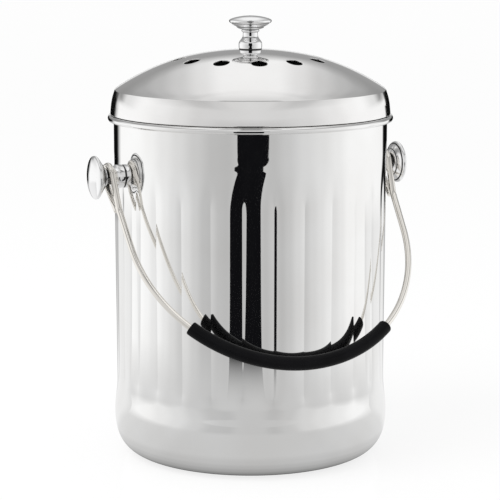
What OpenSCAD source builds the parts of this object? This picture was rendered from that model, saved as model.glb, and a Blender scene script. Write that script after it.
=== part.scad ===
// Compost caddy: a ribbed steel pail with a swinging bail handle and a vented lift-off lid
// that carries a charcoal filter. Millimetres, +Z up, the foot stands on z = 0 and the
// handle pivots lie on the X axis direction. The bail rests towards -Y.

/* [Pail] */
// Outer radius of the plain neck under the rim
neck_r = 87.8; // [80:0.1:96]
// Sheet thickness of the pail and the lid
sheet = 0.6; // [0.5:0.1:1.0]
// Height of the centre of the rolled rim bead
rim_z = 218.5; // [200:0.1:240]
// How far the bead's centre line stands out from the neck
rim_out = 1.7; // [1:0.1:2.2]
// Radius of the bead's own round section
bead_r = 2.1; // [1.8:0.1:3]
// How far the bulge above the foot stands out past the neck
bulge_out = 1.1; // [-1:0.1:3]
// Height of the widest part of that bulge
bulge_z = 28.3; // [20:0.1:36]
// How far the edge of the foot stands in from the neck
foot_in = 22.8; // [18:0.1:28]
// Width of the flat ring that the pail stands on
foot_w = 3; // [1:0.5:4]
// Height of the middle of the raised bottom panel
bottom_lift = 2.5; // [1:0.1:5]
// How far the soft swell below the neck stands out
swell_out = 0.35; // [0.2:0.05:1]

/* [Ribs] */
// Number of upright convex ribs around the wall
rib_count = 28; // [20:1:40]
// Radius of curvature of one rib
rib_r = 40; // [30:1:60]
// How far the rib crests lie in from the neck at their lower end
rib_low_in = 0.7; // [0.5:0.1:2]
// How far the rib crests lie in from the neck at their upper end
rib_high_in = 0.2; // [0.2:0.1:1]
// Height where the ribs start
rib_z0 = 44; // [38:0.5:60]
// How far below the rim bead the ribs have faded out
rib_top_down = 42; // [40:0.1:60]

/* [Studs and bail] */
// How far below the rim bead the handle pivots are
pivot_down = 34.15; // [31:0.05:35]
// Length of a stud from the wall to the rim of its round head
stud_len = 18.3; // [17:0.1:22]
// Radius of a stud's round head
head_r = 13.6; // [11:0.1:15]
// Radius of a stud's waist, where the wire eye hangs
waist_r = 4.75; // [4:0.05:5.5]
// Play between a wire eye and the stud's waist
eye_play = 0.25; // [0.1:0.05:0.6]
// Gap left between the bail's legs and the rim bead as the bail swings
bail_gap = 0.6; // [0.2:0.1:1]
// Distance from the pivots to the lowest point of the bail
bail_drop = 142.5; // [135:0.5:155]
// Gap left between the resting grip and the crests of the ribs
rest_gap = 0.5; // [0.3:0.1:3]
// Thickness of the bail's wire
wire_d = 4; // [3:0.1:5]
// Wall thickness of the grip around the wire
grip_wall = 2.35; // [1.5:0.05:4]
// Half the angle that the grip covers on the bend
grip_half = 43.5; // [30:0.5:55]
// Angle by which the grip sits off the middle of the bend
grip_shift = 4.7; // [-8:0.1:8]

/* [Lid and filter] */
// Height of the lid's dome above the rim that it rests on
lid_rise = 41.1; // [38:0.1:50]
// Number of vent holes in the lid
vent_count = 12; // [6:1:18]
// Radius of one vent hole
vent_r = 5; // [3:0.1:6]
// Radius of the circle through the vent holes
vent_ring = 45.7; // [40:0.1:50]
// Turn of the ring of vent holes
vent_turn = 13.8; // [-15:0.1:15]
// How far the filter holder's deck lies below the top of the lid
deck_down = 21; // [19:0.5:24]
// Wall thickness of the moulded filter parts
moulding = 2; // [1.5:0.1:3]
// Outer radius of the filter holder's wall
holder_r = 61; // [59:0.5:66]
// Thickness of one charcoal pad
pad_h = 5; // [3:0.5:6]

/* [Hidden] */
$fn = 96;

steel = [0.80, 0.80, 0.81];
zinc = [0.70, 0.71, 0.72];
black = [0.06, 0.06, 0.065];
charcoal = [0.10, 0.10, 0.10];
rim_r = neck_r + rim_out;
bulge_r = neck_r + bulge_out;
foot_r = neck_r - foot_in;
rib_low = neck_r - rib_low_in;
rib_high = neck_r - rib_high_in;
rib_z1 = rim_z - rib_top_down;
stud_band = neck_r - 0.1;
swell_z = rim_z - 21.4;
rib_pitch = 360 / rib_count;
pivot_z = rim_z - pivot_down;
wire_r = wire_d / 2;
eye_r = waist_r + eye_play + wire_r;
eye_x = stud_band + 8.85;
bend_r = rim_r + bead_r + bail_gap + wire_r;
grip_bore = wire_r + 0.05;
grip_r = grip_bore + grip_wall;
bail_rest = asin((rib_low + rest_gap + grip_r) / bail_drop);
lid_seat = rim_z + bead_r + 0.3;
lid_top = lid_seat + lid_rise;
lid_wide = rim_r / 89.5;
lid_high = lid_rise / 41.1;
deck_z = lid_top - deck_down;
cover_z = deck_z - moulding - 0.9 - 2 * pad_h;
hole_r = 2.2;
thread_r = 1.95;
screw_reach = 9;
seal_r = 6;
seal_h = 1.2;
washer_r = 6.2;
washer_h = 0.8;
side_washer = stud_band - sheet - 0.3 - seal_h - washer_h;
lid_washer = deck_z - moulding - 0.05 - washer_h;
bend_s = bail_drop - bend_r;
eye_apex = 25;
eye_lean = asin(eye_r / eye_apex);
eye_turn_r = 12;
eye_turn = eye_turn_r * tan(eye_lean / 2);
leg_span = sqrt(eye_x * eye_x + bend_s * bend_s - bend_r * bend_r);
leg_lean = acos(bend_r / norm([eye_x, bend_s])) - atan2(bend_s, eye_x);

// Quarter of a rounded corner, from the flat at r0 out to r1 at height h.
function corner(r0, r1, h, power, steps) = [
    for (i = [0 : steps])
        let (t = 90 * i / steps)
        [r0 + (r1 - r0) * pow(sin(t), 2 / power), h - h * pow(cos(t), 2 / power)]
];

// Smooth step from a to b while z runs from z0 to z1.
function ease(z, z0, z1, a, b) =
    let (t = min(1, max(0, (z - z0) / (z1 - z0))))
    a + (b - a) * t * t * (3 - 2 * t);

// A soft bump of height 1 at c that fades to nothing at a distance w.
function bump(z, c, w) = abs(z - c) >= w ? 0 : 0.5 + 0.5 * cos(180 * (z - c) / w);

// Outer radius of the smooth wall at each height above the bulge.
function wall_r(z) =
    z < rib_z0 + 2
    ? ease(z, bulge_z, rib_z0, bulge_r, rib_low + 0.1)
    : (z < pivot_z + 2
        ? ease(z, rib_z0 + 2, rib_z1, rib_low + 0.1, stud_band)
        : ease(z, rim_z - 25.8, rim_z - 16.8, stud_band, neck_r)
            + swell_out * bump(z, swell_z, z < swell_z ? 3.6 : 5.5));

wall_z = concat(
    [for (i = [1 : 7]) bulge_z + (rib_z0 - bulge_z) * i / 7],
    [for (i = [1 : 5]) rib_z0 + 2 + (rib_z1 - rib_z0 - 2) * i / 5],
    [pivot_z, rim_z - 28.8],
    [for (i = [0 : 15]) rim_z - 26.2 + 0.8 * i],
    [rim_z - 12.2]
);
wall_line = [for (z = wall_z) [wall_r(z), z]];

// A smooth curve through the points of p, with n steps between each pair.
function smooth(p, n) = concat(
    [
        for (i = [0 : len(p) - 2])
            for (j = [0 : n - 1])
                let (
                    a = p[max(i - 1, 0)],
                    b = p[i],
                    c = p[i + 1],
                    d = p[min(i + 2, len(p) - 1)],
                    t = j / n
                )
                b + (c - a) * t / 2 + (2 * a - 5 * b + 4 * c - d) * t * t / 2
                    + (3 * b - a - 3 * c + d) * t * t * t / 2
    ],
    [p[len(p) - 1]]
);

// The line p moved to its right by a distance.
function moved(p, distance) = [
    for (i = [0 : len(p) - 1])
        let (
            d = p[min(i + 1, len(p) - 1)] - p[max(i - 1, 0)],
            u = d / norm(d)
        )
        p[i] + distance * [u[1], -u[0]]
];

// Half section of a stud: a round base, a waist and a mushroom head, standing on z = 0.
stud_line = concat(
    smooth(
        [
            [6.9, 0],
            [7.6, 1.4],
            [7.4, 3.8],
            [waist_r + 1.15, 6],
            [waist_r, 8.4],
            [waist_r, stud_len - 7.5]
        ],
        3
    ),
    smooth(
        [
            [waist_r + 0.55, stud_len - 6.1],
            [head_r - 6, stud_len - 4.4],
            [head_r - 2.3, stud_len - 2.1],
            [head_r - 0.3, stud_len - 0.7]
        ],
        3
    ),
    smooth([[head_r, stud_len], [head_r - 0.9, stud_len + 0.8], [8, stud_len + 2.35]], 3),
    [[4, stud_len + 2.85], [0, stud_len + 3]]
);

module stud_body() {
    difference() {
        rotate_extrude()
            polygon(concat([[0, 0.1]], stud_line));
        translate([0, 0, -1])
            cylinder(r = thread_r, h = 12);
    }
}

// A pan-head screw with a cross recess, its shank along +Z and its head below z = 0.
module screw(shank) {
    difference() {
        union() {
            cylinder(r = thread_r - 0.05, h = shank);
            translate([0, 0, -1])
                cylinder(r = 3.9, h = 1);
            translate([0, 0, -2.2])
                cylinder(r1 = 2.9, r2 = 3.9, h = 1.2);
        }
        translate([-2.2, -0.4, -3])
            cube([4.4, 0.8, 2]);
        translate([-0.4, -2.2, -3])
            cube([0.8, 4.4, 2]);
    }
}

// A flat ring, standing on z = 0.
module ring(outer, inner, h) {
    difference() {
        cylinder(r = outer, h = h);
        translate([0, 0, -1])
            cylinder(r = inner, h = h + 2);
    }
}

// Moves a piece built along +Z onto the stud axis of one side, at a distance from the middle.
module on_side(side, distance) {
    translate([side * distance, 0, pivot_z])
        rotate([0, side * 90, 0])
            children();
}

// A solid of revolution of the pail, moved inwards by inset.
module pail_round(inset, floor_z) {
    rotate_extrude()
        polygon(concat(
            [[0, floor_z + bottom_lift], [foot_r - 10, floor_z + bottom_lift]],
            [[foot_r - 5, floor_z + 0.4], [foot_r - foot_w, floor_z]],
            [for (p = corner(foot_r, bulge_r - inset, bulge_z - floor_z, 2.6, 14))
                [p[0], p[1] + floor_z]],
            [for (p = wall_line) [p[0] - inset, p[1]]],
            [[neck_r - inset, rim_z], [0, rim_z]]
        ));
}

// What the ribs take away from the round wall: a collar with sloped ends around the ribs.
module rib_cut(inset) {
    difference() {
        rotate_extrude()
            polygon([
                [rib_low - 2.4 - inset, rib_z0 + 7],
                [rib_high + 0.3 - inset, rib_z0 - 2],
                [rib_high + 3, rib_z0 - 2],
                [rib_high + 3, rib_z1 + 1.5],
                [rib_high + 0.3 - inset, rib_z1 + 1.5],
                [rib_high - 2.2 - inset, rib_z1 - 9]
            ]);
        for (i = [0 : rib_count - 1])
            rotate([0, 0, (i + 0.5) * rib_pitch])
                translate([rib_low - rib_r, 0, rib_z0 - 5])
                    cylinder(
                        r1 = rib_r - inset,
                        r2 = rib_r - inset + rib_high - rib_low,
                        h = rib_z1 - rib_z0 + 10
                    );
    }
}

module pail_shell() {
    color(steel)
        difference() {
            union() {
                difference() {
                    pail_round(0, 0);
                    rib_cut(0);
                }
                rotate_extrude()
                    translate([rim_r, rim_z])
                        circle(r = bead_r);
            }
            difference() {
                pail_round(sheet, sheet);
                rib_cut(sheet);
            }
            translate([0, 0, rim_z - 1])
                cylinder(r = neck_r - sheet, h = 10);
            rotate_extrude()
                translate([rim_r, rim_z])
                    difference() {
                        circle(r = bead_r - sheet);
                        translate([-3, -3])
                            square([1.9, 6]);
                    }
            rotate_extrude()
                polygon([
                    [neck_r + 0.15, rim_z - 1],
                    [neck_r + 0.15, rim_z - 3],
                    [rim_r - 0.2, rim_z - 3],
                    [rim_r - 0.2, rim_z - 1]
                ]);
            for (side = [-1, 1])
                on_side(side, stud_band - 6)
                    cylinder(r = hole_r, h = 10);
        }
}

module left_stud() {
    color(steel)
        on_side(-1, stud_band)
            stud_body();
}

module right_stud() {
    color(steel)
        on_side(1, stud_band)
            stud_body();
}

module stud_seal(side) {
    color(black)
        on_side(side, side_washer + washer_h)
            ring(seal_r, hole_r, seal_h);
}

module stud_washer(side) {
    color(zinc)
        on_side(side, side_washer)
            ring(washer_r, hole_r, washer_h);
}

module stud_screw(side) {
    color(zinc)
        on_side(side, side_washer)
            screw(stud_band + screw_reach - side_washer);
}

module left_stud_seal() {
    stud_seal(-1);
}

module right_stud_seal() {
    stud_seal(1);
}

module left_stud_washer() {
    stud_washer(-1);
}

module right_stud_washer() {
    stud_washer(1);
}

module left_stud_screw() {
    stud_screw(-1);
}

module right_stud_screw() {
    stud_screw(1);
}

// Turns a piece drawn with the bail hanging straight down into the bail's rest position.
module at_rest() {
    translate([0, 0, pivot_z])
        rotate([-bail_rest, 0, 0])
            children();
}

// A straight piece of wire between two points of the plane x = 0, given as [y, z].
// It starts and ends a little inside the bends beside it and is a hair thinner.
module wire_run(a, b, into_a, into_b) {
    d = b - a;
    translate([0, a[0], a[1]])
        rotate([-atan2(d[0], d[1]), 0, 0])
            translate([0, 0, -into_a])
                cylinder(r = wire_r - 0.02, h = norm(d) + into_a + into_b);
}

// An arc of wire in the plane x = 0 around [y, z], with angles from +Y towards +Z.
module wire_arc(centre, r, from, to) {
    translate([0, centre[0], centre[1]])
        rotate([90, 0, 90])
            rotate([0, 0, from])
                rotate_extrude(angle = to - from)
                    translate([r, 0])
                        circle(r = wire_r);
}

// The teardrop eye around a stud and the straight leg below it, in the plane x = 0.
module wire_side() {
    up = [-sin(eye_lean), cos(eye_lean)];
    front = -eye_r * [cos(eye_lean), sin(eye_lean)];
    tail_end = [3.9, -23.4];
    tail_turn = 90 - atan2(tail_end[0], -tail_end[1]) - acos(eye_r / norm(tail_end));
    back = eye_r * [cos(tail_turn), -sin(tail_turn)];
    wire_run([0, -leg_span], [0, -eye_apex - eye_turn], 0.4, 0.3);
    wire_arc([-eye_turn_r, -eye_apex - eye_turn], eye_turn_r, 0, eye_lean);
    wire_run([0, -eye_apex] + eye_turn * up, front, 0.3, 0.3);
    wire_arc([0, 0], eye_r, -tail_turn, 180 + eye_lean);
    wire_run(back, tail_end, 0.3, 0);
}

module bail_wire() {
    color(steel)
        at_rest() {
            for (side = [-1, 1])
                translate([side * eye_x, 0, 0])
                    rotate([0, side * leg_lean, 0])
                        wire_side();
            translate([0, 0, -bend_s])
                rotate([-90, 0, 0])
                    rotate([0, 0, leg_lean])
                        rotate_extrude(angle = 180 - 2 * leg_lean)
                            translate([bend_r, 0])
                                circle(r = wire_r);
        }
}

module handle_grip() {
    color(black)
        at_rest()
            translate([0, 0, -bend_s])
                rotate([-90, 0, 0])
                    rotate([0, 0, 90 - grip_half + grip_shift])
                        rotate_extrude(angle = 2 * grip_half)
                            translate([bend_r, 0])
                                difference() {
                                    circle(r = grip_r);
                                    circle(r = grip_bore);
                                }
}

// Half section of the lid's outer skin, from its middle out and down to the rim.
lid_line = smooth(
    [
        for (p = [
            [0, 0],
            [16, 0.7],
            [32, 2.8],
            [46, 5.8],
            [60, 11],
            [72, 16.3],
            [82.2, 22.1],
            [87.5, 27.2],
            [89.1, 31.2],
            [89.6, 35.2],
            [89.9, 39.4],
            [89.6, 40.6],
            [88.6, 41.1]
        ])
            [p[0] * lid_wide, lid_top - p[1] * lid_high]
    ],
    3
);

// Height just under the lid's sheet at a distance from its middle.
function under_lid(r) = lookup(r, lid_line) - 1.1 * sheet - 0.3;

module lid_shell() {
    skirt_r = neck_r - sheet - 0.8;
    skirt_z = rim_z - 5;
    inner = moved(lid_line, sheet);
    color(steel)
        difference() {
            rotate_extrude()
                polygon(concat(
                    lid_line,
                    [[skirt_r + 0.3, lid_seat - 0.1], [skirt_r, lid_seat - 0.5], [skirt_r, skirt_z]],
                    [[skirt_r - sheet, skirt_z], [skirt_r - sheet, lid_seat + sheet]],
                    [for (i = [len(inner) - 2 : -1 : 1]) inner[i]],
                    [[0, lid_top - sheet]]
                ));
            translate([0, 0, lid_top - 5])
                cylinder(r = hole_r, h = 10);
            for (i = [0 : vent_count - 1])
                rotate([0, 0, -90 + vent_turn + i * 360 / vent_count])
                    translate([vent_ring, 0, lid_top - 15])
                        cylinder(r = vent_r, h = 20);
        }
}

module lid_knob() {
    color(steel)
        translate([0, 0, lid_top])
            stud_body();
}

// Carries the pads under the vents: a wall, a slotted deck and a boss under the knob.
module filter_holder() {
    color(black)
        difference() {
            union() {
                difference() {
                    translate([0, 0, cover_z + 0.4])
                        cylinder(r = holder_r, h = lid_top - cover_z);
                    translate([0, 0, cover_z])
                        cylinder(r = holder_r - moulding, h = deck_z - moulding - cover_z);
                    translate([0, 0, deck_z])
                        cylinder(r = holder_r - moulding, h = deck_down + 5);
                    rotate_extrude()
                        polygon([
                            [holder_r - 6, under_lid(holder_r - 6)],
                            [holder_r + 3, under_lid(holder_r + 3)],
                            [holder_r + 3, lid_top + 5],
                            [holder_r - 6, lid_top + 5]
                        ]);
                }
                translate([0, 0, deck_z - 1])
                    cylinder(r = 7, h = lid_top - sheet - 0.2 - deck_z + 1);
            }
            for (i = [0 : 5])
                rotate([0, 0, i * 60])
                    translate([0.36 * holder_r, 0, deck_z - moulding - 1])
                        cylinder(r = 7, h = moulding + 2);
            for (i = [0 : 11])
                rotate([0, 0, i * 30])
                    translate([0.74 * holder_r, 0, deck_z - moulding - 1])
                        cylinder(r = 8, h = moulding + 2);
            translate([0, 0, deck_z - moulding - 1])
                cylinder(r = hole_r, h = deck_down + moulding + 2);
        }
}

module lid_knob_washer() {
    color(zinc)
        translate([0, 0, lid_washer])
            ring(washer_r, hole_r, washer_h);
}

module lid_knob_screw() {
    color(zinc)
        translate([0, 0, lid_washer])
            screw(lid_top + screw_reach - lid_washer);
}

// A round charcoal pad with a hole in the middle that clears the screw head.
module pad(z) {
    color(charcoal)
        translate([0, 0, z])
            ring(holder_r - moulding - 1, 9, pad_h);
}

module upper_charcoal_pad() {
    pad(cover_z + pad_h + 0.35);
}

module lower_charcoal_pad() {
    pad(cover_z + 0.3);
}

// The cap that snaps over the holder and holds the pads up.
module filter_cover() {
    color(black)
        difference() {
            union() {
                translate([0, 0, cover_z - moulding])
                    cylinder(r = holder_r + 0.4 + moulding, h = moulding);
                translate([0, 0, cover_z - moulding])
                    ring(holder_r + 0.4 + moulding, holder_r + 0.4, moulding + 8);
            }
            for (lap = [1 : 3])
                for (i = [0 : lap * 6 - 1])
                    rotate([0, 0, i * 60 / lap])
                        translate([lap * 0.262 * holder_r, 0, cover_z - moulding - 1])
                            cylinder(r = 5.5, h = moulding + 2);
            translate([0, 0, cover_z - moulding - 1])
                cylinder(r = 6.5, h = moulding + 2);
        }
}

pail_shell();
left_stud();
left_stud_seal();
left_stud_washer();
left_stud_screw();
right_stud();
right_stud_seal();
right_stud_washer();
right_stud_screw();
bail_wire();
handle_grip();
lid_shell();
lid_knob();
lid_knob_washer();
lid_knob_screw();
filter_holder();
upper_charcoal_pad();
lower_charcoal_pad();
filter_cover();
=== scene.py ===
import math

import bmesh
import bpy
from mathutils import Matrix, Vector


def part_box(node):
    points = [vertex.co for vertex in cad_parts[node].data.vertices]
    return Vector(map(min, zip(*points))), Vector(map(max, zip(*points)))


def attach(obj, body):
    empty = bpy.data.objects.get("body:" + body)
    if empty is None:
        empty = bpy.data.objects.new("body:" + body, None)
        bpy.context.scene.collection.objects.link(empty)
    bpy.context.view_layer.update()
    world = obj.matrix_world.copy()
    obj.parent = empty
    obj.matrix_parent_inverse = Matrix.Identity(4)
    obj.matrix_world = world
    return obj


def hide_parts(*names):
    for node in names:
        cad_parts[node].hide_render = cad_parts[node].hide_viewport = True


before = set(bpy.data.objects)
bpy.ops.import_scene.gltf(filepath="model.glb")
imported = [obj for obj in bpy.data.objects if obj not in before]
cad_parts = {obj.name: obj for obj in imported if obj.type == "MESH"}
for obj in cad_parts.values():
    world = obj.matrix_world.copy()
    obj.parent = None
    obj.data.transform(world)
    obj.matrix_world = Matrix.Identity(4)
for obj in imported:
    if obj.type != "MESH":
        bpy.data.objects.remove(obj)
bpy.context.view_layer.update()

# ---------------------------------------------------------------- Pail
# One deep-drawn cup of thin stainless sheet, polished to a mirror outside and left satin
# inside. Its wall is pressed into upright convex ribs between a rounded foot bulge and a
# plain neck, and its top edge is rolled outwards over itself into a bead.
MM = 0.001
SHEET = 0.6
NECK_R = 87.8
RIM_Z = 218.5
RIM_R = 89.5
BEAD_R = 2.1
BULGE_R = 88.9
BULGE_Z = 28.3
FOOT_R = 65.0
FOOT_ROUND = 2.6
RIB_COUNT = 28
RIB_CURVE = 40.0
RIB_LOW = 87.1
RIB_HIGH = 87.6
RIB_FROM = 44.0
RIB_TO = 176.5
RIB_TURN = math.radians(0.7)
RIB_RISE = (42, 58)
RIB_FADE = (167, 196)
BAND_R = 87.7
BAND_TOP = 192.7
NECK_FROM = 201.7
SWELL = 0.05
SWELL_Z = 197.1
INSIDE_TOP = 217.4
WALL_STEPS = 16 * RIB_COUNT
CROWDING = 0.85


def eased(points, steps):
    """A smooth line through the points, with equal steps between each pair."""
    line = []
    for i in range(len(points) - 1):
        a, b = points[max(i - 1, 0)], points[i]
        c, d = points[i + 1], points[min(i + 2, len(points) - 1)]
        for j in range(steps):
            t = j / steps
            line.append(tuple(
                q + (r - p) * t / 2 + (2 * p - 5 * q + 4 * r - s) * t * t / 2
                + (3 * q - p - 3 * r + s) * t ** 3 / 2
                for p, q, r, s in zip(a, b, c, d)
            ))
    return line + [tuple(points[-1])]


def ramp(value, low, high):
    """Smooth step from 0 at low to 1 at high."""
    t = min(1.0, max(0.0, (value - low) / (high - low)))
    return t * t * (3 - 2 * t)


def swelling(value, centre, width):
    """A soft hump of height 1 that fades to nothing at the width."""
    if abs(value - centre) >= width:
        return 0.0
    return 0.5 + 0.5 * math.cos(math.pi * (value - centre) / width)


def soft_max(a, b, blend):
    """The larger of two values, with the corner between them rounded over the blend."""
    overlap = max(blend - abs(a - b), 0.0) / blend
    return max(a, b) + overlap * overlap * blend / 4


def wall_radius(z):
    """Outer radius of the wall before the ribs are pressed."""
    crest = RIB_LOW + 0.1
    crest_from = RIB_FROM + 3
    if z < crest_from:
        return BULGE_R + (crest - BULGE_R) * ramp(z, BULGE_Z, crest_from)
    if z < (RIB_TO + BAND_TOP) / 2:
        return crest + (BAND_R - crest) * ramp(z, crest_from, RIB_TO)
    rise = (NECK_R - BAND_R) * ramp(z, BAND_TOP, NECK_FROM)
    return BAND_R + rise + SWELL * swelling(z, SWELL_Z, 3.6 if z < SWELL_Z else 5.5)


def rib_radius(z, turn):
    """Outer radius of the ribbed wall at a height and an angle in radians."""
    pitch = math.tau / RIB_COUNT
    curve = RIB_CURVE + (RIB_HIGH - RIB_LOW) * ramp(z, RIB_FROM, RIB_TO)
    middle = RIB_LOW - RIB_CURVE
    off_crest = abs((turn % pitch) - pitch / 2)
    sides = []
    for away in (off_crest, pitch - off_crest):
        across = middle * math.sin(away)
        sides.append(middle * math.cos(away) + math.sqrt(curve * curve - across * across))
    softness = 0.03 + 0.5 * ramp(z, 169, 180) + 0.3 * (1 - ramp(z, 48, 56))
    below_crest = soft_max(sides[0], sides[1], softness) - middle - curve
    return wall_radius(z) + below_crest * ramp(z, *RIB_RISE) * (1 - ramp(z, *RIB_FADE))


def turned(outline, steps):
    """Spins an outline of (radius, height) pairs in millimetres into a closed skin."""
    bm = bmesh.new()
    verts = [bm.verts.new((r * MM, 0.0, z * MM)) for r, z in outline]
    edges = [bm.edges.new(pair) for pair in zip(verts, verts[1:])]
    bmesh.ops.spin(
        bm, geom=verts + edges, cent=(0, 0, 0), axis=(0, 0, 1),
        angle=math.tau, steps=steps, use_merge=True, use_duplicate=False,
    )
    bmesh.ops.remove_doubles(bm, verts=bm.verts, dist=1e-6)
    bmesh.ops.recalc_face_normals(bm, faces=bm.faces)
    return bm


def made(bm, name, body, nodes, finish):
    """Turns a bmesh into a finished piece that rides on its body in place of CAD nodes."""
    mesh = bpy.data.meshes.new(name)
    bm.to_mesh(mesh)
    bm.free()
    for face in mesh.polygons:
        face.use_smooth = True
    mesh.materials.append(finish)
    piece = bpy.data.objects.new(name, mesh)
    bpy.context.scene.collection.objects.link(piece)
    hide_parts(*nodes)
    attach(piece, body)
    return piece


def blank_finish(name):
    """A material with its Principled shader, and a helper that adds linked nodes."""
    material = bpy.data.materials.new(name)
    material.use_nodes = True
    tree = material.node_tree
    shader = tree.nodes["Principled BSDF"]

    def add(kind, links=(), **values):
        node = tree.nodes.new(kind)
        for key, value in values.items():
            if key in node.bl_rna.properties:
                setattr(node, key, value)
            else:
                node.inputs[key.replace("_", " ")].default_value = value
        for socket, source in links:
            tree.links.new(source, node.inputs[socket])
        return node

    return material, tree, shader, add


def principled(material):
    return next(n for n in material.node_tree.nodes if n.type == "BSDF_PRINCIPLED")


def two_tone(tree, source, dark, light, low=0.35, high=0.65):
    """Colour ramp from dark to light over the middle of a texture."""
    node = tree.nodes.new("ShaderNodeValToRGB")
    node.color_ramp.elements[0].position = low
    node.color_ramp.elements[0].color = (*dark, 1)
    node.color_ramp.elements[1].position = high
    node.color_ramp.elements[1].color = (*light, 1)
    tree.links.new(source, node.inputs["Fac"])
    return node.outputs["Color"]


def in_range(add, source, low, high, from_low=0.3, from_high=0.7):
    """Maps a texture onto a range of plain numbers."""
    node = add(
        "ShaderNodeMapRange", [("Value", source)],
        From_Min=from_low, From_Max=from_high, To_Min=low, To_Max=high,
    )
    return node.outputs["Result"]


def polished_steel(name, dark, light, shine, waviness, lap_scale):
    """Mirror-polished sheet: faint colour drift, lapping marks and a slight waviness."""
    material, tree, shader, add = blank_finish(name)
    place = add("ShaderNodeTexCoord").outputs["Object"]
    drift = add("ShaderNodeTexNoise", [("Vector", place)], Scale=22.0, Detail=3.0)
    wave = add("ShaderNodeTexNoise", [("Vector", place)], Scale=34.0, Detail=1.0)
    laps = add("ShaderNodeMapping", [("Vector", place)], Scale=lap_scale)
    marks = add(
        "ShaderNodeTexNoise", [("Vector", laps.outputs["Vector"])],
        Scale=240.0, Detail=4.0, Roughness=0.65,
    )
    tree.links.new(two_tone(tree, drift.outputs["Fac"], dark, light), shader.inputs["Base Color"])
    tree.links.new(
        in_range(add, marks.outputs["Fac"], shine[0], shine[1]), shader.inputs["Roughness"]
    )
    hills = add(
        "ShaderNodeBump", [("Height", wave.outputs["Fac"])],
        Strength=waviness, Distance=0.0006,
    )
    fine = add(
        "ShaderNodeBump",
        [("Height", marks.outputs["Fac"]), ("Normal", hills.outputs["Normal"])],
        Strength=0.04, Distance=0.00002,
    )
    tree.links.new(fine.outputs["Normal"], shader.inputs["Normal"])
    shader.inputs["Metallic"].default_value = 1.0
    return material


foot_line = [(0, 2.5), (30, 2.5), (50, 2.5), (56, 2.3), (59, 1.2), (61, 0.25), (62, 0), (65, 0)]
corner_line = [
    (
        FOOT_R + (BULGE_R - FOOT_R) * math.sin(t) ** (2 / FOOT_ROUND),
        BULGE_Z - BULGE_Z * math.cos(t) ** (2 / FOOT_ROUND),
    )
    for t in (math.radians(90 * i / 26) for i in range(1, 27))
]
wall_heights = (
    [BULGE_Z + 1.3 * i for i in range(1, 11)] + [42 + 0.8 * i for i in range(1, 14)]
    + [53, 55, 62, 75, 90, 105, 120, 135, 150, 160, 165] + [167 + 1.1 * i for i in range(23)]
    + [192.2 + 0.6 * i for i in range(19)] + [204, 208, 213, 216.2, 216.5]
)
outer_wall = [(wall_radius(z), z) for z in wall_heights]
bead_line = [
    (RIM_R + BEAD_R * math.cos(t), RIM_Z + BEAD_R * math.sin(t))
    for t in (math.radians(a) for a in range(-136, 152, 8))
]
inner_heights = [
    206, 203, 201, 199, 197, 195, 193, 190, 186, 182, 179, 176, 173, 170, 167, 150, 120,
    90, 60, 54, 51, 48, 45, 42, 39, 36, 32,
]
inner_wall = [(NECK_R - SHEET, 217.5)] + [(wall_radius(z) - SHEET, z) for z in inner_heights]
inner_corner = [
    (
        FOOT_R + (BULGE_R - SHEET - FOOT_R) * math.sin(t) ** (2 / FOOT_ROUND),
        BULGE_Z - (BULGE_Z - SHEET) * math.cos(t) ** (2 / FOOT_ROUND),
    )
    for t in (math.radians(a) for a in range(90, 0, -9))
]
inner_floor = [(63, 0.7), (60.5, 1.2), (58, 2.4), (55, 3.1), (30, 3.1), (0, 3.1)]

pail = turned(
    foot_line + corner_line + outer_wall + bead_line + inner_wall + inner_corner + inner_floor,
    WALL_STEPS,
)
for vert in pail.verts:
    z = vert.co.z / MM
    radius = vert.co.xy.length / MM
    if radius < 1:
        continue
    turn = math.atan2(vert.co.y, vert.co.x)
    turn -= CROWDING * math.sin(turn * RIB_COUNT) / RIB_COUNT  # closer columns in the valleys
    if radius > 80 and RIB_RISE[0] < z < RIB_FADE[1]:
        radius += rib_radius(z, turn) - wall_radius(z)
    turn -= RIB_TURN
    vert.co.x = radius * MM * math.cos(turn)
    vert.co.y = radius * MM * math.sin(turn)

pail_steel = polished_steel(
    "pail_mirror_steel", (0.90, 0.895, 0.885), (0.94, 0.94, 0.935), (0.015, 0.05), 0.05,
    (1.0, 1.0, 0.12),
)
pail_piece = made(pail, "pail_skin", "pail", ["pail_shell"], pail_steel)

inside_steel = polished_steel(
    "pail_satin_inside", (0.80, 0.795, 0.79), (0.85, 0.845, 0.84), (0.30, 0.36), 0.02,
    (1.0, 1.0, 1.0),
)
principled(inside_steel).inputs["Metallic"].default_value = 0.4
pail_piece.data.materials.append(inside_steel)
for face in pail_piece.data.polygons:
    faces_axis = face.normal.xy.dot(face.center.xy) < 0 and face.normal.z > -0.2
    faces_up = face.normal.z > 0.5
    if face.center.z < INSIDE_TOP * MM and (faces_axis or faces_up):
        face.material_index = 1

# ---------------------------------------------------------------- Studs
# Two turned and polished steel studs stand out from the neck on the pivot line, each with a
# bulb at its base, a waist for the wire eye and a mushroom head. Inside the pail each is
# held by a screw, a washer and a rubber seal.
PIVOT_Z = 184.35
STUD_LEN = 18.3
HEAD_R = 13.6
WAIST_R = 4.75


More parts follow.
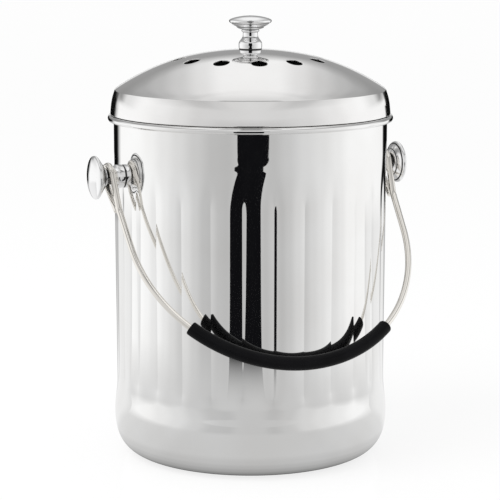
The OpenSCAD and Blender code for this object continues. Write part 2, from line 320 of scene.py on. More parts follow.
def stud_outline():
    """Outline of a stud from the middle of its base out and up to the middle of its head."""
    bulb = eased([
        (7.2, -0.25), (7.4, 0.8), (7.45, 3.2), (7.15, 4.6), (6.2, 6.0), (5.3, 7.2),
        (WAIST_R + 0.05, 8.5), (WAIST_R, 10.7),
    ], 6)
    collar = eased([(WAIST_R, 10.7), (5.35, 10.95), (5.7, 11.6), (5.45, 12.25)], 5)
    under_head = eased([
        (5.45, 12.25), (5.75, 12.5), (7.2, 12.95), (8.4, 13.5), (8.75, 14.0),
    ], 5)
    ridge = eased([(8.75, 14.0), (8.95, 14.25), (10.3, 14.95), (11.6, 15.8), (11.85, 16.2)], 5)
    head = eased([
        (11.85, 16.2), (12.5, 16.45), (13.3, 17.1), (HEAD_R, 17.9), (13.4, 18.6),
        (12.7, 19.1), (11.0, 19.75), (8.0, 20.5), (4.0, 21.1), (0, STUD_LEN + 3),
    ], 6)
    return [(0, -0.25)] + bulb + collar[1:] + under_head[1:] + ridge[1:] + head[1:]


def mark_painted_shade(stud, shade_rings):
    """Marks rings of painted shade on a turned stud, as (height, half width, darkness)."""
    layer = stud.verts.layers.float.new("painted_shade")
    for vert in stud.verts:
        z = vert.co.z / MM
        vert[layer] = max(
            darkness * (1 - ramp(abs(z - centre), half * 0.5, half)) for centre, half, darkness in shade_rings
        )


def paint_shade_rings(material):
    """Paints the marked rings' shade into a polished finish as a near-black base colour."""
    tree = material.node_tree
    shader = principled(material)
    steel = shader.inputs["Base Color"].links[0].from_socket
    shade_mask = tree.nodes.new("ShaderNodeAttribute")
    shade_mask.attribute_name = "painted_shade"
    over = tree.nodes.new("ShaderNodeMixRGB")
    over.inputs["Color2"].default_value = (0.012, 0.012, 0.013, 1)
    tree.links.new(shade_mask.outputs["Fac"], over.inputs["Fac"])
    tree.links.new(steel, over.inputs["Color1"])
    tree.links.new(over.outputs["Color"], shader.inputs["Base Color"])


stud_steel = polished_steel(
    "stud_mirror_steel", (0.92, 0.92, 0.92), (0.96, 0.96, 0.965), (0.015, 0.05), 0.02,
    (1.0, 1.0, 1.0),
)
paint_shade_rings(stud_steel)
for side, name in ((-1, "left_stud"), (1, "right_stud")):
    stud = turned(stud_outline(), 96)
    # Painted shade: dark rings at the base contact, over the waist under the wire eye, and in the
    # collar and head creases.
    mark_painted_shade(stud, [
        (0, 0.5, 0.95), (9.6, 2.6, 0.9), (12.4, 0.45, 0.95), (14.0, 0.4, 0.95), (16.3, 0.35, 0.95),
    ])
    upright_to_side = (
        Matrix.Translation((side * BAND_R * MM, 0, PIVOT_Z * MM))
        @ Matrix.Rotation(side * math.pi / 2, 4, "Y")
    )
    bmesh.ops.transform(stud, matrix=upright_to_side, verts=stud.verts)
    made(stud, name + "_turned", "pail", [name], stud_steel)


def cad_finish(node, material):
    """Gives a CAD node that keeps its own shape its finished material."""
    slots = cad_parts[node].data.materials
    slots.clear()
    slots.append(material)


def zinc_finish():
    material, tree, shader, add = blank_finish("bright_zinc_plating")
    place = add("ShaderNodeTexCoord").outputs["Object"]
    cloud = add("ShaderNodeTexNoise", [("Vector", place)], Scale=180.0, Detail=5.0)
    tree.links.new(
        two_tone(tree, cloud.outputs["Fac"], (0.52, 0.53, 0.55), (0.72, 0.73, 0.74)),
        shader.inputs["Base Color"],
    )
    tree.links.new(in_range(add, cloud.outputs["Fac"], 0.22, 0.42), shader.inputs["Roughness"])
    pits = add(
        "ShaderNodeBump", [("Height", cloud.outputs["Fac"])], Strength=0.15, Distance=0.00005
    )
    tree.links.new(pits.outputs["Normal"], shader.inputs["Normal"])
    shader.inputs["Metallic"].default_value = 1.0
    return material


def rubber_finish(name, dark, light, rough, grain, sheen):
    material, tree, shader, add = blank_finish(name)
    place = add("ShaderNodeTexCoord").outputs["Object"]
    mottle = add("ShaderNodeTexNoise", [("Vector", place)], Scale=70.0, Detail=4.0)
    fine = add("ShaderNodeTexNoise", [("Vector", place)], Scale=grain, Detail=3.0)
    tree.links.new(
        two_tone(tree, mottle.outputs["Fac"], dark, light), shader.inputs["Base Color"]
    )
    tree.links.new(
        in_range(add, mottle.outputs["Fac"], rough[0], rough[1]), shader.inputs["Roughness"]
    )
    skin = add(
        "ShaderNodeBump", [("Height", fine.outputs["Fac"])], Strength=0.25, Distance=0.00006
    )
    tree.links.new(skin.outputs["Normal"], shader.inputs["Normal"])
    shader.inputs["Specular IOR Level"].default_value = sheen
    return material


zinc = zinc_finish()
seal_rubber = rubber_finish(
    "seal_rubber", (0.035, 0.035, 0.037), (0.06, 0.06, 0.062), (0.55, 0.75), 900.0, 0.35
)
for side in ("left", "right"):
    cad_finish(side + "_stud_seal", seal_rubber)
    cad_finish(side + "_stud_washer", zinc)
    cad_finish(side + "_stud_screw", zinc)

# ---------------------------------------------------------------- Bail wire
# One length of round steel wire. Each end is bent into a teardrop eye that hangs on a stud's
# waist, with its short tail tucked behind the leg, and the middle is one wide round bend.
WIRE_R = 2.0
EYE_R = 7.0
EYE_X = 96.6
EYE_APEX = 25.0
EYE_TURN_R = 12.0
BEND_R = 94.2
BAIL_DROP = 142.5
GRIP_R = 4.4
BEND_S = BAIL_DROP - BEND_R
BAIL_REST = math.asin((RIB_LOW + 0.5 + GRIP_R) / BAIL_DROP)
EYE_LEAN = math.asin(EYE_R / EYE_APEX)
EYE_TURN = EYE_TURN_R * math.tan(EYE_LEAN / 2)
LEG_SPAN = math.sqrt(EYE_X ** 2 + BEND_S ** 2 - BEND_R ** 2)
LEG_LEAN = math.acos(BEND_R / math.hypot(EYE_X, BEND_S)) - math.atan2(BEND_S, EYE_X)
TAIL_END = Vector((0, 3.9, -23.4))
hanging_to_rest = (
    Matrix.Translation((0, 0, PIVOT_Z * MM)) @ Matrix.Rotation(-BAIL_REST, 4, "X")
)


def drawn_out(bm, edges):
    """Extrudes open edges in place and gives the new vertices and the new outer edges."""
    grown = bmesh.ops.extrude_edge_only(bm, edges=edges)["geom"]
    verts = [g for g in grown if isinstance(g, bmesh.types.BMVert)]
    fresh = set(verts)
    outer = [
        g for g in grown
        if isinstance(g, bmesh.types.BMEdge) and all(v in fresh for v in g.verts)
    ]
    return verts, outer


def wire_ahead(bm, ring, way, steps):
    """Draws the wire straight on by a vector in millimetres."""
    for _ in range(steps):
        verts, ring = drawn_out(bm, ring)
        bmesh.ops.translate(bm, vec=way * MM / steps, verts=verts)
    return ring


def wire_round(bm, ring, centre, axis, angle, steps):
    """Bends the wire on around a centre in millimetres."""
    verts = list({v for e in ring for v in e.verts})
    last = bmesh.ops.spin(
        bm, geom=verts + ring, cent=centre * MM, axis=axis, angle=angle, steps=steps,
        use_duplicate=False, use_merge=False,
    )["geom_last"]
    return [g for g in last if isinstance(g, bmesh.types.BMEdge)]


wire = bmesh.new()
tail_turn = (
    math.pi / 2 - math.atan2(TAIL_END.y, -TAIL_END.z) - math.acos(EYE_R / TAIL_END.length)
)
back = EYE_R * Vector((0, math.cos(tail_turn), -math.sin(tail_turn)))
up_slope = Vector((0, -math.sin(EYE_LEAN), math.cos(EYE_LEAN)))
front = -EYE_R * Vector((0, math.cos(EYE_LEAN), math.sin(EYE_LEAN)))
apex_start = Vector((0, 0, -EYE_APEX)) + EYE_TURN * up_slope
tail_way = back - TAIL_END
tip = bmesh.ops.create_circle(wire, cap_ends=True, radius=WIRE_R * MM, segments=24)["verts"]
bmesh.ops.transform(
    wire, verts=tip,
    matrix=Matrix.Translation(TAIL_END * MM)
    @ tail_way.to_track_quat("Z", "Y").to_matrix().to_4x4(),
)
ring = [e for e in wire.edges if e.is_boundary]
ring = wire_ahead(wire, ring, tail_way, 10)
ring = wire_round(wire, ring, Vector((0, 0, 0)), (1, 0, 0), math.pi + EYE_LEAN + tail_turn, 40)
ring = wire_ahead(wire, ring, apex_start - front, 8)
ring = wire_round(
    wire, ring, Vector((0, -EYE_TURN_R, -EYE_APEX - EYE_TURN)), (-1, 0, 0), EYE_LEAN, 6
)
ring = wire_ahead(wire, ring, Vector((0, 0, -LEG_SPAN + EYE_APEX + EYE_TURN)), 12)
bmesh.ops.transform(
    wire, verts=wire.verts,
    matrix=Matrix.Translation((EYE_X * MM, 0, 0)) @ Matrix.Rotation(LEG_LEAN, 4, "Y"),
)
ring = wire_round(
    wire, ring, Vector((0, 0, -BEND_S)), (0, 1, 0), math.pi / 2 - LEG_LEAN, 80
)
bmesh.ops.mirror(
    wire, geom=wire.verts[:] + wire.edges[:] + wire.faces[:], axis="X", merge_dist=1e-5
)
bmesh.ops.remove_doubles(wire, verts=wire.verts, dist=1e-6)
tip_edges = [e for e in wire.edges if len(e.link_faces) == 2 and any(
    len(f.verts) > 4 for f in e.link_faces
)]
bmesh.ops.bevel(
    wire, geom=tip_edges, offset=0.5 * MM, offset_type="OFFSET", segments=3, profile=0.5,
    affect="EDGES", material=-1,
)
bmesh.ops.transform(wire, matrix=hanging_to_rest, verts=wire.verts)
bmesh.ops.recalc_face_normals(wire, faces=wire.faces)
wire_steel = polished_steel(
    "wire_drawn_steel", (0.86, 0.83, 0.78), (0.92, 0.89, 0.84), (0.02, 0.05), 0.02,
    (1.0, 1.0, 1.0),
)
made(wire, "bail_wire_bent", "handle", ["bail_wire"], wire_steel)

# ---------------------------------------------------------------- Grip
# A black rubber sleeve pushed onto the round bend of the wire. It sits a little off the
# middle, with a satin skin and softly rounded ends.
GRIP_HALF = math.radians(43.5)
GRIP_SHIFT = math.radians(4.7)
grip = bmesh.new()
end = bmesh.ops.create_circle(grip, cap_ends=True, radius=GRIP_R * MM, segments=40)["verts"]
bmesh.ops.transform(
    grip, verts=end,
    matrix=Matrix.Rotation(math.pi / 2 - GRIP_HALF + GRIP_SHIFT, 4, (0, 1, 0))
    @ Matrix.Translation((BEND_R * MM, 0, 0)),
)
ring = [e for e in grip.edges if e.is_boundary]
ring = wire_round(grip, ring, Vector((0, 0, 0)), (0, 1, 0), 2 * GRIP_HALF, 96)
bmesh.ops.contextual_create(grip, geom=ring)
end_edges = [e for e in grip.edges if any(len(f.verts) > 4 for f in e.link_faces)]
bmesh.ops.bevel(
    grip, geom=end_edges, offset=1.1 * MM, offset_type="OFFSET", segments=5, profile=0.5,
    affect="EDGES", material=-1,
)
bmesh.ops.translate(grip, vec=(0, 0, -BEND_S * MM), verts=grip.verts)
bmesh.ops.transform(grip, matrix=hanging_to_rest, verts=grip.verts)
bmesh.ops.recalc_face_normals(grip, faces=grip.faces)
grip_rubber = rubber_finish(
    "grip_rubber", (0.0025, 0.0025, 0.003), (0.005, 0.005, 0.006), (0.36, 0.48), 1400.0, 0.09
)
made(grip, "grip_sleeve", "handle", ["handle_grip"], grip_rubber)

# ---------------------------------------------------------------- Lid
# A domed cover of the same sheet, drawn with a rounded shoulder, a plain band below it and a
# skirt that drops inside the rim. Twelve round vents with slightly drawn-in lips are
# punched in a ring around the knob.
LID_TOP = 262.0
VENT_PITCH = 360 / 12
VENT_R = 5.0
VENT_LIP = 0.3
VENT_RING = 45.7
VENT_TURN = 13.8
VENT_STEP = 0.8
HOLE_CELLS = 6
GRID_CELLS = 10


def relaxed(line, rounds):
    """Evens out the small kinks of a line and keeps its ends."""
    for _ in range(rounds):
        line = [line[0]] + [
            tuple((a + 2 * b + c) / 4 for a, b, c in zip(*trio))
            for trio in zip(line, line[1:], line[2:])
        ] + [line[-1]]
    return line


dome_line = relaxed(eased([
    (0, 0), (16, -0.7), (32, -2.8), (46, -5.9), (60, -10.8), (72, -16.3), (82.3, -22.1),
    (86.9, -25.5),
], 16), 30)
dome_line += relaxed(eased([
    (87.0, -25.7), (87.75, -27.9), (88.5, -30.4), (89.05, -33.0), (89.43, -35.6),
    (89.7, -38.2), (89.9, -40.6),
], 8), 4)
dome_line += [(89.85, -40.85), (89.5, -41.1), (88.9, -41.1), (88.6, -41.1)]


def dome_height(radius):
    """Height of the dome's outside at a radius, both in millimetres."""
    for (r0, z0), (r1, z1) in zip(dome_line, dome_line[1:]):
        if r0 <= radius < r1:
            return LID_TOP + z0 + (z1 - z0) * (radius - r0) / (r1 - r0)
    return LID_TOP


lid_rows = [0, 4, 8, 12, 16, 20, 24, 28, 32, 34.3]
lid_rows += [VENT_RING + VENT_STEP * i for i in range(-12, 13)]
lid_rows += [57 + 1.5 * i for i in range(12)]
shoulder = [(r, LID_TOP + z) for r, z in dome_line[1:] if r > 75 or z < -30]
skirt = [(87.6, 220.7), (86.9, 220.45), (86.5, 220.0), (86.4, 219.0), (86.4, 213.5)]
lid = turned([(r, dome_height(r)) for r in lid_rows] + shoulder + skirt, 360)
# Round each vent the square grid of rows and columns is pushed out into rings.
inside_vent = []
for vert in lid.verts:
    radius = vert.co.xy.length / MM
    row = (radius - VENT_RING) / VENT_STEP
    if abs(row) > GRID_CELLS + 0.5:
        continue
    turn = math.degrees(math.atan2(vert.co.y, vert.co.x))
    column = (turn + VENT_PITCH / 2) % VENT_PITCH - VENT_PITCH / 2
    cells = max(abs(row), abs(column))
    if cells < HOLE_CELLS - 0.5:
        inside_vent.append(vert)
        continue
    if cells > GRID_CELLS - 0.5:
        continue
    if abs(row) >= abs(column):
        along = math.sin(math.pi / 4 * column / cells)
        out = math.copysign(math.cos(math.pi / 4 * column / cells), row)
    else:
        out = math.sin(math.pi / 4 * row / cells)
        along = math.copysign(math.cos(math.pi / 4 * row / cells), column)
    lip = VENT_R + VENT_LIP
    grid_out = radius * math.cos(math.radians(column)) - VENT_RING
    grid_along = radius * math.sin(math.radians(column))
    t = ramp(cells, HOLE_CELLS, GRID_CELLS) * 0.4
    t += (cells - HOLE_CELLS) / (GRID_CELLS - HOLE_CELLS) * 0.6
    out = out * lip * (1 - t) + grid_out * t
    along = along * lip * (1 - t) + grid_along * t
    new_radius = math.hypot(VENT_RING + out, along)
    new_turn = math.radians(turn - column) + math.atan2(along, VENT_RING + out)
    vert.co = (
        new_radius * MM * math.cos(new_turn), new_radius * MM * math.sin(new_turn),
        dome_height(new_radius) * MM,
    )
bmesh.ops.delete(lid, geom=inside_vent, context="VERTS")
lips = [e for e in lid.edges if e.is_boundary and e.verts[0].co.z > (LID_TOP - 22) * MM]
for pull, drop in ((0.2, 0.07), (0.1, 0.2)):
    lip_verts, lips = drawn_out(lid, lips)
    for vert in lip_verts:
        turn = math.degrees(math.atan2(vert.co.y, vert.co.x))
        centre_turn = math.radians(VENT_PITCH * round(turn / VENT_PITCH))
        centre = Vector((math.cos(centre_turn), math.sin(centre_turn), 0)) * VENT_RING * MM
        away = Vector((vert.co.x, vert.co.y, 0)) - centre
        vert.co -= away.normalized() * pull * MM
        vert.co.z -= drop * MM
bmesh.ops.rotate(
    lid, cent=(0, 0, 0), matrix=Matrix.Rotation(math.radians(VENT_TURN - 90), 3, "Z"),
    verts=lid.verts,
)
bmesh.ops.recalc_face_normals(lid, faces=lid.faces)
lid_steel = polished_steel(
    "lid_mirror_steel", (0.90, 0.89, 0.88), (0.935, 0.93, 0.925), (0.05, 0.09), 0.03,
    (1.0, 1.0, 1.0),
)
lid_piece = made(lid, "lid_dome", "lid", ["lid_shell"], lid_steel)
wall = lid_piece.modifiers.new("sheet", "SOLIDIFY")
wall.thickness = SHEET * MM
wall.offset = -1.0

# ---------------------------------------------------------------- Lid knob
# The lid's knob is a third turned stud, standing on the dome and held from below by its own
# washer and screw.
knob = turned(stud_outline(), 96)
# Painted shade: dark rings at the knob's base and in its waist, collar and head creases.
mark_painted_shade(knob, [
    (0, 0.55, 0.95), (7.4, 0.35, 0.4), (10.75, 0.3, 0.5), (12.4, 0.35, 0.8), (14.0, 0.35, 0.8),
    (16.3, 0.3, 0.7),
])
bmesh.ops.translate(knob, vec=(0, 0, LID_TOP * MM), verts=knob.verts)
made(knob, "lid_knob_turned", "lid", ["lid_knob"], stud_steel)
cad_finish("lid_knob_washer", zinc)
cad_finish("lid_knob_screw", zinc)

# ---------------------------------------------------------------- Filter
# Two round charcoal felt pads lie in a moulded black holder under the vents, and a slotted
# cap snaps over the holder from below and keeps them in.
PAD_R = 58.0
PAD_HOLE = 9.0
PAD_LOFT = 0.12


def moulded_plastic():
    material, tree, shader, add = blank_finish("moulded_black_plastic")
    place = add("ShaderNodeTexCoord").outputs["Object"]
    flow = add("ShaderNodeTexNoise", [("Vector", place)], Scale=40.0, Detail=3.0)
    spark = add("ShaderNodeTexVoronoi", [("Vector", place)], Scale=1600.0)
    tree.links.new(
        two_tone(tree, flow.outputs["Fac"], (0.028, 0.028, 0.03), (0.045, 0.045, 0.048)),
        shader.inputs["Base Color"],
    )
    tree.links.new(in_range(add, flow.outputs["Fac"], 0.4, 0.55), shader.inputs["Roughness"])
    texture = add(
        "ShaderNodeBump", [("Height", spark.outputs["Distance"])],
        Strength=0.2, Distance=0.00008,
    )
    tree.links.new(texture.outputs["Normal"], shader.inputs["Normal"])
    return material


def charcoal_felt():
    material, tree, shader, add = blank_finish("charcoal_felt")
    place = add("ShaderNodeTexCoord").outputs["Object"]
    fibre = add(
        "ShaderNodeTexNoise", [("Vector", place)],
        Scale=700.0, Detail=6.0, Roughness=0.75, Distortion=1.5,
    )
    clump = add("ShaderNodeTexNoise", [("Vector", place)], Scale=120.0, Detail=3.0)
    tree.links.new(
        two_tone(tree, fibre.outputs["Fac"], (0.012, 0.012, 0.012), (0.07, 0.07, 0.07)),
        shader.inputs["Base Color"],
    )
    tree.links.new(in_range(add, clump.outputs["Fac"], 0.85, 1.0), shader.inputs["Roughness"])
    nap = add(
        "ShaderNodeBump", [("Height", fibre.outputs["Fac"])], Strength=0.8, Distance=0.0004
    )
    tree.links.new(nap.outputs["Normal"], shader.inputs["Normal"])
    shader.inputs["Sheen Weight"].default_value = 0.4
    return material


black_plastic = moulded_plastic()
for node in ("filter_holder", "filter_cover"):
    cad_finish(node, black_plastic)
felt = charcoal_felt()
for name, tone in (("upper_charcoal_pad", 0.3), ("lower_charcoal_pad", 1.7)):
    low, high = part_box(name)
    bottom, top = low[2] / MM, high[2] / MM
    rim = [
        (PAD_HOLE, bottom + 1), (PAD_HOLE + 0.3, bottom + 0.3), (PAD_HOLE + 1, bottom),
        (20, bottom), (32, bottom), (44, bottom), (54, bottom), (PAD_R - 1, bottom),
        (PAD_R - 0.3, bottom + 0.3), (PAD_R, bottom + 1),
    ]
    sides = [(PAD_R, top - 1), (PAD_R - 0.3, top - 0.3), (PAD_R - 1, top)]
    lid_side = [(r, top) for r in (54, 44, 32, 20, PAD_HOLE + 1)]
    hole = [(PAD_HOLE + 0.3, top - 0.3), (PAD_HOLE, top - 1), (PAD_HOLE, bottom + 1)]
    pad = turned(rim + sides + lid_side + hole, 144)
    for vert in pad.verts:
        x, y = vert.co.x / MM, vert.co.y / MM
        loft = PAD_LOFT * (math.sin(x * 0.31 + tone) * math.sin(y * 0.37 - tone) - 1)
        middle = (bottom + top) / 2
        vert.co.z += loft * MM * (1 if vert.co.z / MM > middle else -1)
    made(pad, name + "_felt", "filter", [name], felt)

# ---------------------------------------------------------------- Studio
# A plain pale table under soft, even light. What the mirror finish shows of the room is
# drawn on the table and the surroundings: pale screens, a dark gap in front and dark flags
# behind on both sides.
VIEW_TURN = math.radians(23.054)
TOWARD = Vector((-math.sin(VIEW_TURN), -math.cos(VIEW_TURN), 0))
RIGHT = Vector((math.cos(VIEW_TURN), -math.sin(VIEW_TURN), 0))


def stops(tree, source, marks):
    """A colour ramp with grey stops given as (position, brightness)."""
    node = tree.nodes.new("ShaderNodeValToRGB")
    node.color_ramp.interpolation = "EASE"
    elements = node.color_ramp.elements
    for element, (place, grey) in zip(elements, (marks[0], marks[-1])):
        element.position = place
        element.color = (grey, grey, grey, 1)
    for place, grey in marks[1:-1]:
        element = elements.new(place)
        element.color = (grey, grey, grey, 1)
    tree.links.new(source, node.inputs["Fac"])
    return node.outputs["Color"]


def figures(tree):
    """Short helpers for arithmetic nodes."""
    def maths(operation, *values):
        node = tree.nodes.new("ShaderNodeMath")
        node.operation = operation
        for socket, value in zip(node.inputs, values):
            if isinstance(value, (int, float)):
                socket.default_value = value
            else:
                tree.links.new(value, socket)
        return node.outputs["Value"]

    def limited(value):
        return maths("MINIMUM", maths("MAXIMUM", value, 0.0), 1.0)

    def dot(vector, fixed):
        node = tree.nodes.new("ShaderNodeVectorMath")
        node.operation = "DOT_PRODUCT"
        tree.links.new(vector, node.inputs[0])
        node.inputs[1].default_value = fixed
        return node.outputs["Value"]

    def mix(factor, a, b):
        node = tree.nodes.new("ShaderNodeMix")
        node.data_type = "RGBA"
        tree.links.new(factor, node.inputs["Factor"])
        for name, colour in (("A", a), ("B", b)):
            socket = next(s for s in node.inputs if s.name == name and s.type == "RGBA")
            tree.links.new(colour, socket)
        return next(s for s in node.outputs if s.type == "RGBA")

    return maths, limited, dot, mix


def bearing(maths, dot, place):
    """Turn around the object as 0..1, with 0.5 towards the front and more to the right."""
    turn = maths("ARCTAN2", dot(place, RIGHT), dot(place, TOWARD))
    return maths("ADD", maths("DIVIDE", turn, math.tau), 0.5)


def at(degrees):
    """Place on a ramp of bearings, from degrees off the front."""
    return degrees / 360 + 0.5


def emptied(owner):
    """Gives a new material or world an empty node tree."""
    owner.use_nodes = True
    owner.node_tree.nodes.clear()
    return owner.node_tree


def shining(tree, kind, colour, strength=1.0):
    """An emission or background shader, with a fixed colour or one from another node."""
    node = tree.nodes.new(kind)
    node.inputs["Strength"].default_value = strength
    if isinstance(colour, tuple):
        node.inputs["Color"].default_value = colour
    else:
        tree.links.new(colour, node.inputs["Color"])
    return node.outputs[0]


def from_to(tree, factor, shader_a, shader_b):
    """A shader that goes from the first to the second with the factor."""
    node = tree.nodes.new("ShaderNodeMixShader")
    if isinstance(factor, float):
        node.inputs["Fac"].default_value = factor
    else:
        tree.links.new(factor, node.inputs["Fac"])
    tree.links.new(shader_a, node.inputs[1])
    tree.links.new(shader_b, node.inputs[2])
    return node.outputs[0]


def put_out(tree, kind, shader):
    tree.links.new(shader, tree.nodes.new(kind).inputs["Surface"])


def staged(bm, name, finish):
    """Makes a sheet of the studio from a bmesh."""
    mesh = bpy.data.meshes.new(name)
    bm.to_mesh(mesh)
    bm.free()
    mesh.materials.append(finish)
    sheet = bpy.data.objects.new(name, mesh)
    bpy.context.scene.collection.objects.link(sheet)
    return sheet


def only_mirrored(sheet):
    """Leaves a studio sheet to show in polished steel alone, with no shadow."""
    sheet.visible_camera = False
    sheet.visible_diffuse = False
    sheet.visible_shadow = False


def table_finish():
    """Pale and slightly glossy to the eye; polished steel sees graded screens on it, with a
    painted contact shadow near the foot.
    """
    material = bpy.data.materials.new("table_pale")
    tree = emptied(material)
    maths, limited, dot, mix = figures(tree)
    place = tree.nodes.new("ShaderNodeTexCoord").outputs["Object"]
    way = bearing(maths, dot, place)
    length = tree.nodes.new("ShaderNodeVectorMath")
    length.operation = "LENGTH"
    tree.links.new(place, length.inputs[0])
    reach = length.outputs["Value"]
    far_tone = stops(tree, way, [
        (0.0, 0.004), (at(-148), 0.004), (at(-145), 0.15), (at(-142), 0.6), (at(-136), 1.02),
        (at(-105), 1.02), (at(-90), 0.97), (at(-75), 0.86), (at(-60), 0.76), (at(-45), 0.645),
        (at(-30), 0.545), (at(-18), 0.525), (at(-8), 0.58), (at(8), 0.58), (at(18), 0.535),
        (at(30), 0.60), (at(45), 0.71), (at(60), 0.79), (at(75), 0.88), (at(90), 0.98),
        (at(120), 1.0), (at(143), 0.97), (at(147), 0.004), (1.0, 0.004),
    ])
    near_tone = stops(tree, way, [
        (0.0, 0.50), (at(-152), 0.50), (at(-140), 0.90), (at(-120), 0.88), (at(-103), 0.75),
        (at(-85), 0.71), (at(-60), 0.66), (at(-40), 0.61), (at(0), 0.60), (at(40), 0.61),
        (at(60), 0.65), (at(85), 0.70), (at(103), 0.75), (at(120), 0.88), (at(140), 0.90),
        (at(152), 0.50), (1.0, 0.50),
    ])
    # Painted contact shadow: the table that the steel sees darkens close to the object's foot.
    painted_contact_shade = stops(tree, maths("MULTIPLY", reach, 5.0), [
        (0.0, 0.18), (0.372, 0.24), (0.388, 0.46), (0.41, 0.66), (0.435, 0.80), (0.465, 0.90),
        (0.55, 1.0), (1.0, 1.0),
    ])
    in_front = maths("COMPARE", way, 0.5, 0.3)
    front_change = limited(maths("MULTIPLY", maths("SUBTRACT", reach, 0.26), 5.5))
    back_change = limited(maths("MULTIPLY", maths("SUBTRACT", reach, 1.0), 4.0))
    change = maths(
        "ADD", maths("MULTIPLY", in_front, front_change),
        maths("MULTIPLY", maths("SUBTRACT", 1.0, in_front), back_change),
    )
    graded = maths("MULTIPLY", mix(change, near_tone, far_tone), painted_contact_shade)
    mirrored = shining(tree, "ShaderNodeEmission", graded)
    matt = tree.nodes.new("ShaderNodeBsdfDiffuse")
    matt.inputs["Color"].default_value = (0.26, 0.26, 0.26, 1)
    lit = tree.nodes.new("ShaderNodeAddShader")
    tree.links.new(shining(tree, "ShaderNodeEmission", (1, 1, 1, 1), 0.80), lit.inputs[0])
    tree.links.new(matt.outputs[0], lit.inputs[1])
    gloss = tree.nodes.new("ShaderNodeBsdfGlossy")
    gloss.inputs["Roughness"].default_value = 0.06
    seen = from_to(tree, 0.035, lit.outputs[0], gloss.outputs[0])
    bounced = tree.nodes.new("ShaderNodeBsdfDiffuse")
    bounced.inputs["Color"].default_value = (0.75, 0.75, 0.75, 1)
    rays = tree.nodes.new("ShaderNodeLightPath").outputs
    by_ray = from_to(tree, rays["Is Glossy Ray"], seen, mirrored)
    by_ray = from_to(tree, rays["Is Diffuse Ray"], by_ray, bounced.outputs[0])
    put_out(tree, "ShaderNodeOutputMaterial", by_ray)
    return material


def gap_finish():
    """Black from above, clear from below, and fading out close to the object."""
    material = bpy.data.materials.new("dark_gap")
    tree = emptied(material)
    maths, limited, dot, mix = figures(tree)
    place = tree.nodes.new("ShaderNodeTexCoord").outputs["Object"]
    out_there = maths("SUBTRACT", dot(place, TOWARD), GAP_FROM)
    fade = maths("POWER", limited(maths("MULTIPLY", out_there, 7.25)), 2.0)
    underside = tree.nodes.new("ShaderNodeNewGeometry").outputs["Backfacing"]
    cover = maths("MULTIPLY", fade, maths("SUBTRACT", 1.0, underside))
    clear = tree.nodes.new("ShaderNodeBsdfTransparent").outputs[0]
    black = shining(tree, "ShaderNodeEmission", CARD_BLACK)
    put_out(tree, "ShaderNodeOutputMaterial", from_to(tree, cover, clear, black))
    return material


def card_finish():
    material = bpy.data.materials.new("dark_card")
    tree = emptied(material)
    put_out(tree, "ShaderNodeOutputMaterial", shining(tree, "ShaderNodeEmission", CARD_BLACK))
    return material


table_bm = bmesh.new()
bmesh.ops.create_grid(table_bm, x_segments=1, y_segments=1, size=12.0)
staged(table_bm, "table", table_finish())

# The dark gap lies flat over the table in front, and widens with its reach from the object.
CARD_BLACK = (0.005, 0.005, 0.006, 1)
GAP_HEIGHT = 0.045
GAP_FROM = 0.10
gap_reaches = (GAP_FROM, 0.90, 0.95, 1.00, 1.10, 1.18, 1.46, 1.57, 1.72, 2.10, 12.0)
gap_left = (0.022, 0.200, 0.197, 0.192, 0.193, 0.202, 0.270, 0.292, 0.316, 0.38, 2.11)
gap_right = (0.018, 0.160, 0.166, 0.188, 0.235, 0.270, 0.378, 0.413, 0.452, 0.56, 3.20)
gap_bm = bmesh.new()
gap_sides = []
for hand, half_widths in ((-1, gap_left), (1, gap_right)):
    side = [
        gap_bm.verts.new(TOWARD * reach + RIGHT * hand * half_width + Vector((0, 0, GAP_HEIGHT)))
        for reach, half_width in zip(gap_reaches, half_widths)
    ]
    gap_sides += [gap_bm.edges.new(pair) for pair in zip(side, side[1:])]
bmesh.ops.bridge_loops(gap_bm, edges=gap_sides)
bmesh.ops.recalc_face_normals(gap_bm, faces=gap_bm.faces)
bmesh.ops.reverse_faces(gap_bm, faces=[face for face in gap_bm.faces if face.normal.z < 0])
only_mirrored(staged(gap_bm, "dark_gap", gap_finish()))

# A small upright card close in front of the knob gives it and the dome under it their depth.
CARD_WIDTH = 0.066
CARD_HEIGHT = 0.052
card_bm = bmesh.new()
bmesh.ops.create_grid(card_bm, x_segments=1, y_segments=1, size=0.5)
bmesh.ops.scale(card_bm, vec=(CARD_WIDTH, CARD_HEIGHT, 1), verts=card_bm.verts)
bmesh.ops.transform(
    card_bm, verts=card_bm.verts,
    matrix=Matrix.Translation(TOWARD * 0.105 + Vector((0, 0, 0.2815)))
    @ TOWARD.to_track_quat("Z", "Y").to_matrix().to_4x4(),
)
only_mirrored(staged(card_bm, "knob_flag", card_finish()))

world = bpy.data.worlds.new("room")
bpy.context.scene.world = world
tree = emptied(world)
maths, limited, dot, mix = figures(tree)
place = tree.nodes.new("ShaderNodeTexCoord").outputs["Generated"]
way = bearing(maths, dot, place)
split = tree.nodes.new("ShaderNodeSeparateXYZ")
tree.links.new(place, split.inputs[0])
height = maths("DIVIDE", maths("ARCSINE", split.outputs["Z"]), math.pi / 2)
low_tone = stops(tree, way, [
    (0.0, 0.95), (at(-171), 0.95), (at(-168), 0.006), (at(-148), 0.006), (at(-142), 0.7),
    (at(-136), 1.0), (at(-100), 1.0), (at(-75), 0.88), (at(-60), 0.80), (at(-42), 0.68),
    (at(-20), 0.59), (at(0), 0.58), (at(20), 0.59), (at(45), 0.70), (at(75), 0.88),
    (at(95), 0.98), (at(140), 0.97), (at(147), 0.95), (at(151), 0.006), (at(168), 0.006),
    (at(171), 0.95), (1.0, 0.95),
])
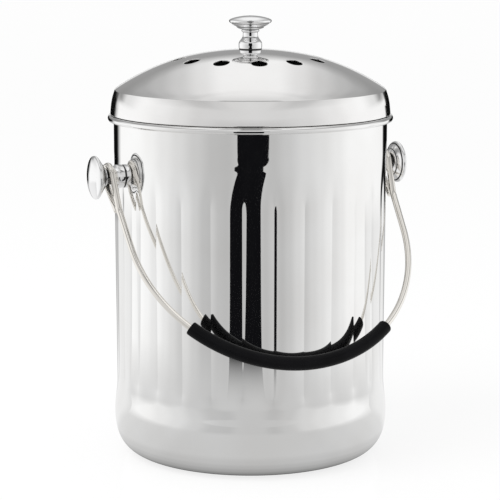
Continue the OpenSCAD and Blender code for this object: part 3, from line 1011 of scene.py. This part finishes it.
middle_tone = stops(tree, way, [
    (0.0, 0.34), (at(-171), 0.34), (at(-150), 0.28), (at(-140), 0.30), (at(-125), 0.80),
    (at(-100), 1.0), (at(-80), 0.92), (at(-60), 0.81), (at(-42), 0.71), (at(-25), 0.70),
    (at(0), 0.725), (at(25), 0.71), (at(45), 0.73), (at(70), 0.86), (at(90), 0.97),
    (at(105), 1.0), (at(125), 0.80), (at(140), 0.30), (at(150), 0.28), (at(171), 0.34),
    (1.0, 0.34),
])
sideways = maths("ABSOLUTE", dot(place, RIGHT))
lean_over = maths("ARCTAN2", sideways, maths("MAXIMUM", split.outputs["Z"], 0.02))
lean_over = maths("DIVIDE", lean_over, math.pi / 2)
back_tone = stops(tree, lean_over, [
    (0.0, 0.95), (8 / 90, 0.94), (15 / 90, 0.80), (22 / 90, 0.64), (29 / 90, 0.51),
    (35 / 90, 0.42), (45 / 90, 0.35), (55 / 90, 0.33), (67 / 90, 0.55), (76 / 90, 0.80),
    (82 / 90, 0.92), (1.0, 1.0),
])
front_tone = stops(tree, lean_over, [
    (0.0, 0.74), (25 / 90, 0.72), (40 / 90, 0.64), (50 / 90, 0.56), (56 / 90, 0.56),
    (63 / 90, 0.68), (75 / 90, 0.86), (1.0, 0.98),
])
window_tone = stops(tree, way, [
    (0.0, 0.5), (at(-110), 0.6), (at(-80), 0.97), (at(-12), 0.97), (at(-10), 0.01),
    (at(12), 0.01), (at(14), 0.97), (at(80), 0.97), (at(110), 0.6), (1.0, 0.5),
])
flag_tone = stops(tree, way, [
    (0.0, 0.5), (at(-110), 0.45), (at(-80), 0.24), (at(-45), 0.30), (at(-15), 0.50),
    (at(0), 0.58), (at(15), 0.50), (at(45), 0.30), (at(80), 0.24), (at(110), 0.45), (1.0, 0.5),
])


def above(angle, width):
    """0 below an angle over the horizon, 1 above it, with a soft edge, both in degrees."""
    rise = maths("DIVIDE", maths("SUBTRACT", height, (angle - width / 2) / 90), width / 90)
    return limited(rise)


def between(low, low_width, high, high_width):
    """1 between two angles over the horizon, with soft edges."""
    return maths(
        "MULTIPLY", above(low, low_width), maths("SUBTRACT", 1.0, above(high, high_width))
    )


behind = limited(maths("DIVIDE", maths("SUBTRACT", -0.12, dot(place, TOWARD)), 0.32))
in_front = maths("SUBTRACT", 1.0, behind)
high_up = mix(behind, front_tone, back_tone)
high_up = mix(maths("MULTIPLY", in_front, between(36.7, 1.4, 47.0, 2.0)), high_up, flag_tone)
high_up = mix(maths("MULTIPLY", in_front, between(48.0, 2.0, 66.0, 4.0)), high_up, window_tone)
screens = mix(above(4.5, 5.0), low_tone, middle_tone)
screens = mix(above(24.0, 12.0), screens, high_up)
mirror_room = shining(tree, "ShaderNodeBackground", screens)
soft_room = shining(tree, "ShaderNodeBackground", (1, 1, 1, 1), 0.75)
seen_room = shining(tree, "ShaderNodeBackground", (1, 1, 1, 1))
rays = tree.nodes.new("ShaderNodeLightPath").outputs
room = from_to(tree, rays["Is Glossy Ray"], soft_room, mirror_room)
room = from_to(tree, rays["Is Camera Ray"], room, seen_room)
put_out(tree, "ShaderNodeOutputWorld", room)

CAMERA_REACH = 1.27136
CAMERA_ASIDE = -0.00025
CAMERA_HEIGHT = 0.34565
CAMERA_TILT = 0.1669
camera_data = bpy.data.cameras.new("camera")
camera_data.lens = 142.64
camera_data.sensor_width = 36.0
camera_data.clip_end = 50.0
camera = bpy.data.objects.new("camera", camera_data)
camera.location = TOWARD * CAMERA_REACH + RIGHT * CAMERA_ASIDE + Vector((0, 0, CAMERA_HEIGHT))
looking = -TOWARD * math.cos(CAMERA_TILT) + Vector((0, 0, -math.sin(CAMERA_TILT)))
camera.rotation_euler = looking.to_track_quat("-Z", "Y").to_euler()
bpy.context.scene.collection.objects.link(camera)
bpy.context.scene.camera = camera

key_data = bpy.data.lights.new("soft_key", "AREA")
key_data.shape = "RECTANGLE"
key_data.size = 1.2
key_data.size_y = 0.9
key_data.energy = 9.0
key = bpy.data.objects.new("soft_key", key_data)
key.location = RIGHT * -0.9 + TOWARD * 0.7 + Vector((0, 0, 1.5))
key.rotation_euler = (Vector((0, 0, 0.12)) - key.location).to_track_quat("-Z", "Y").to_euler()
key.visible_glossy = False
bpy.context.scene.collection.objects.link(key)

bpy.context.scene.view_settings.view_transform = "Standard"
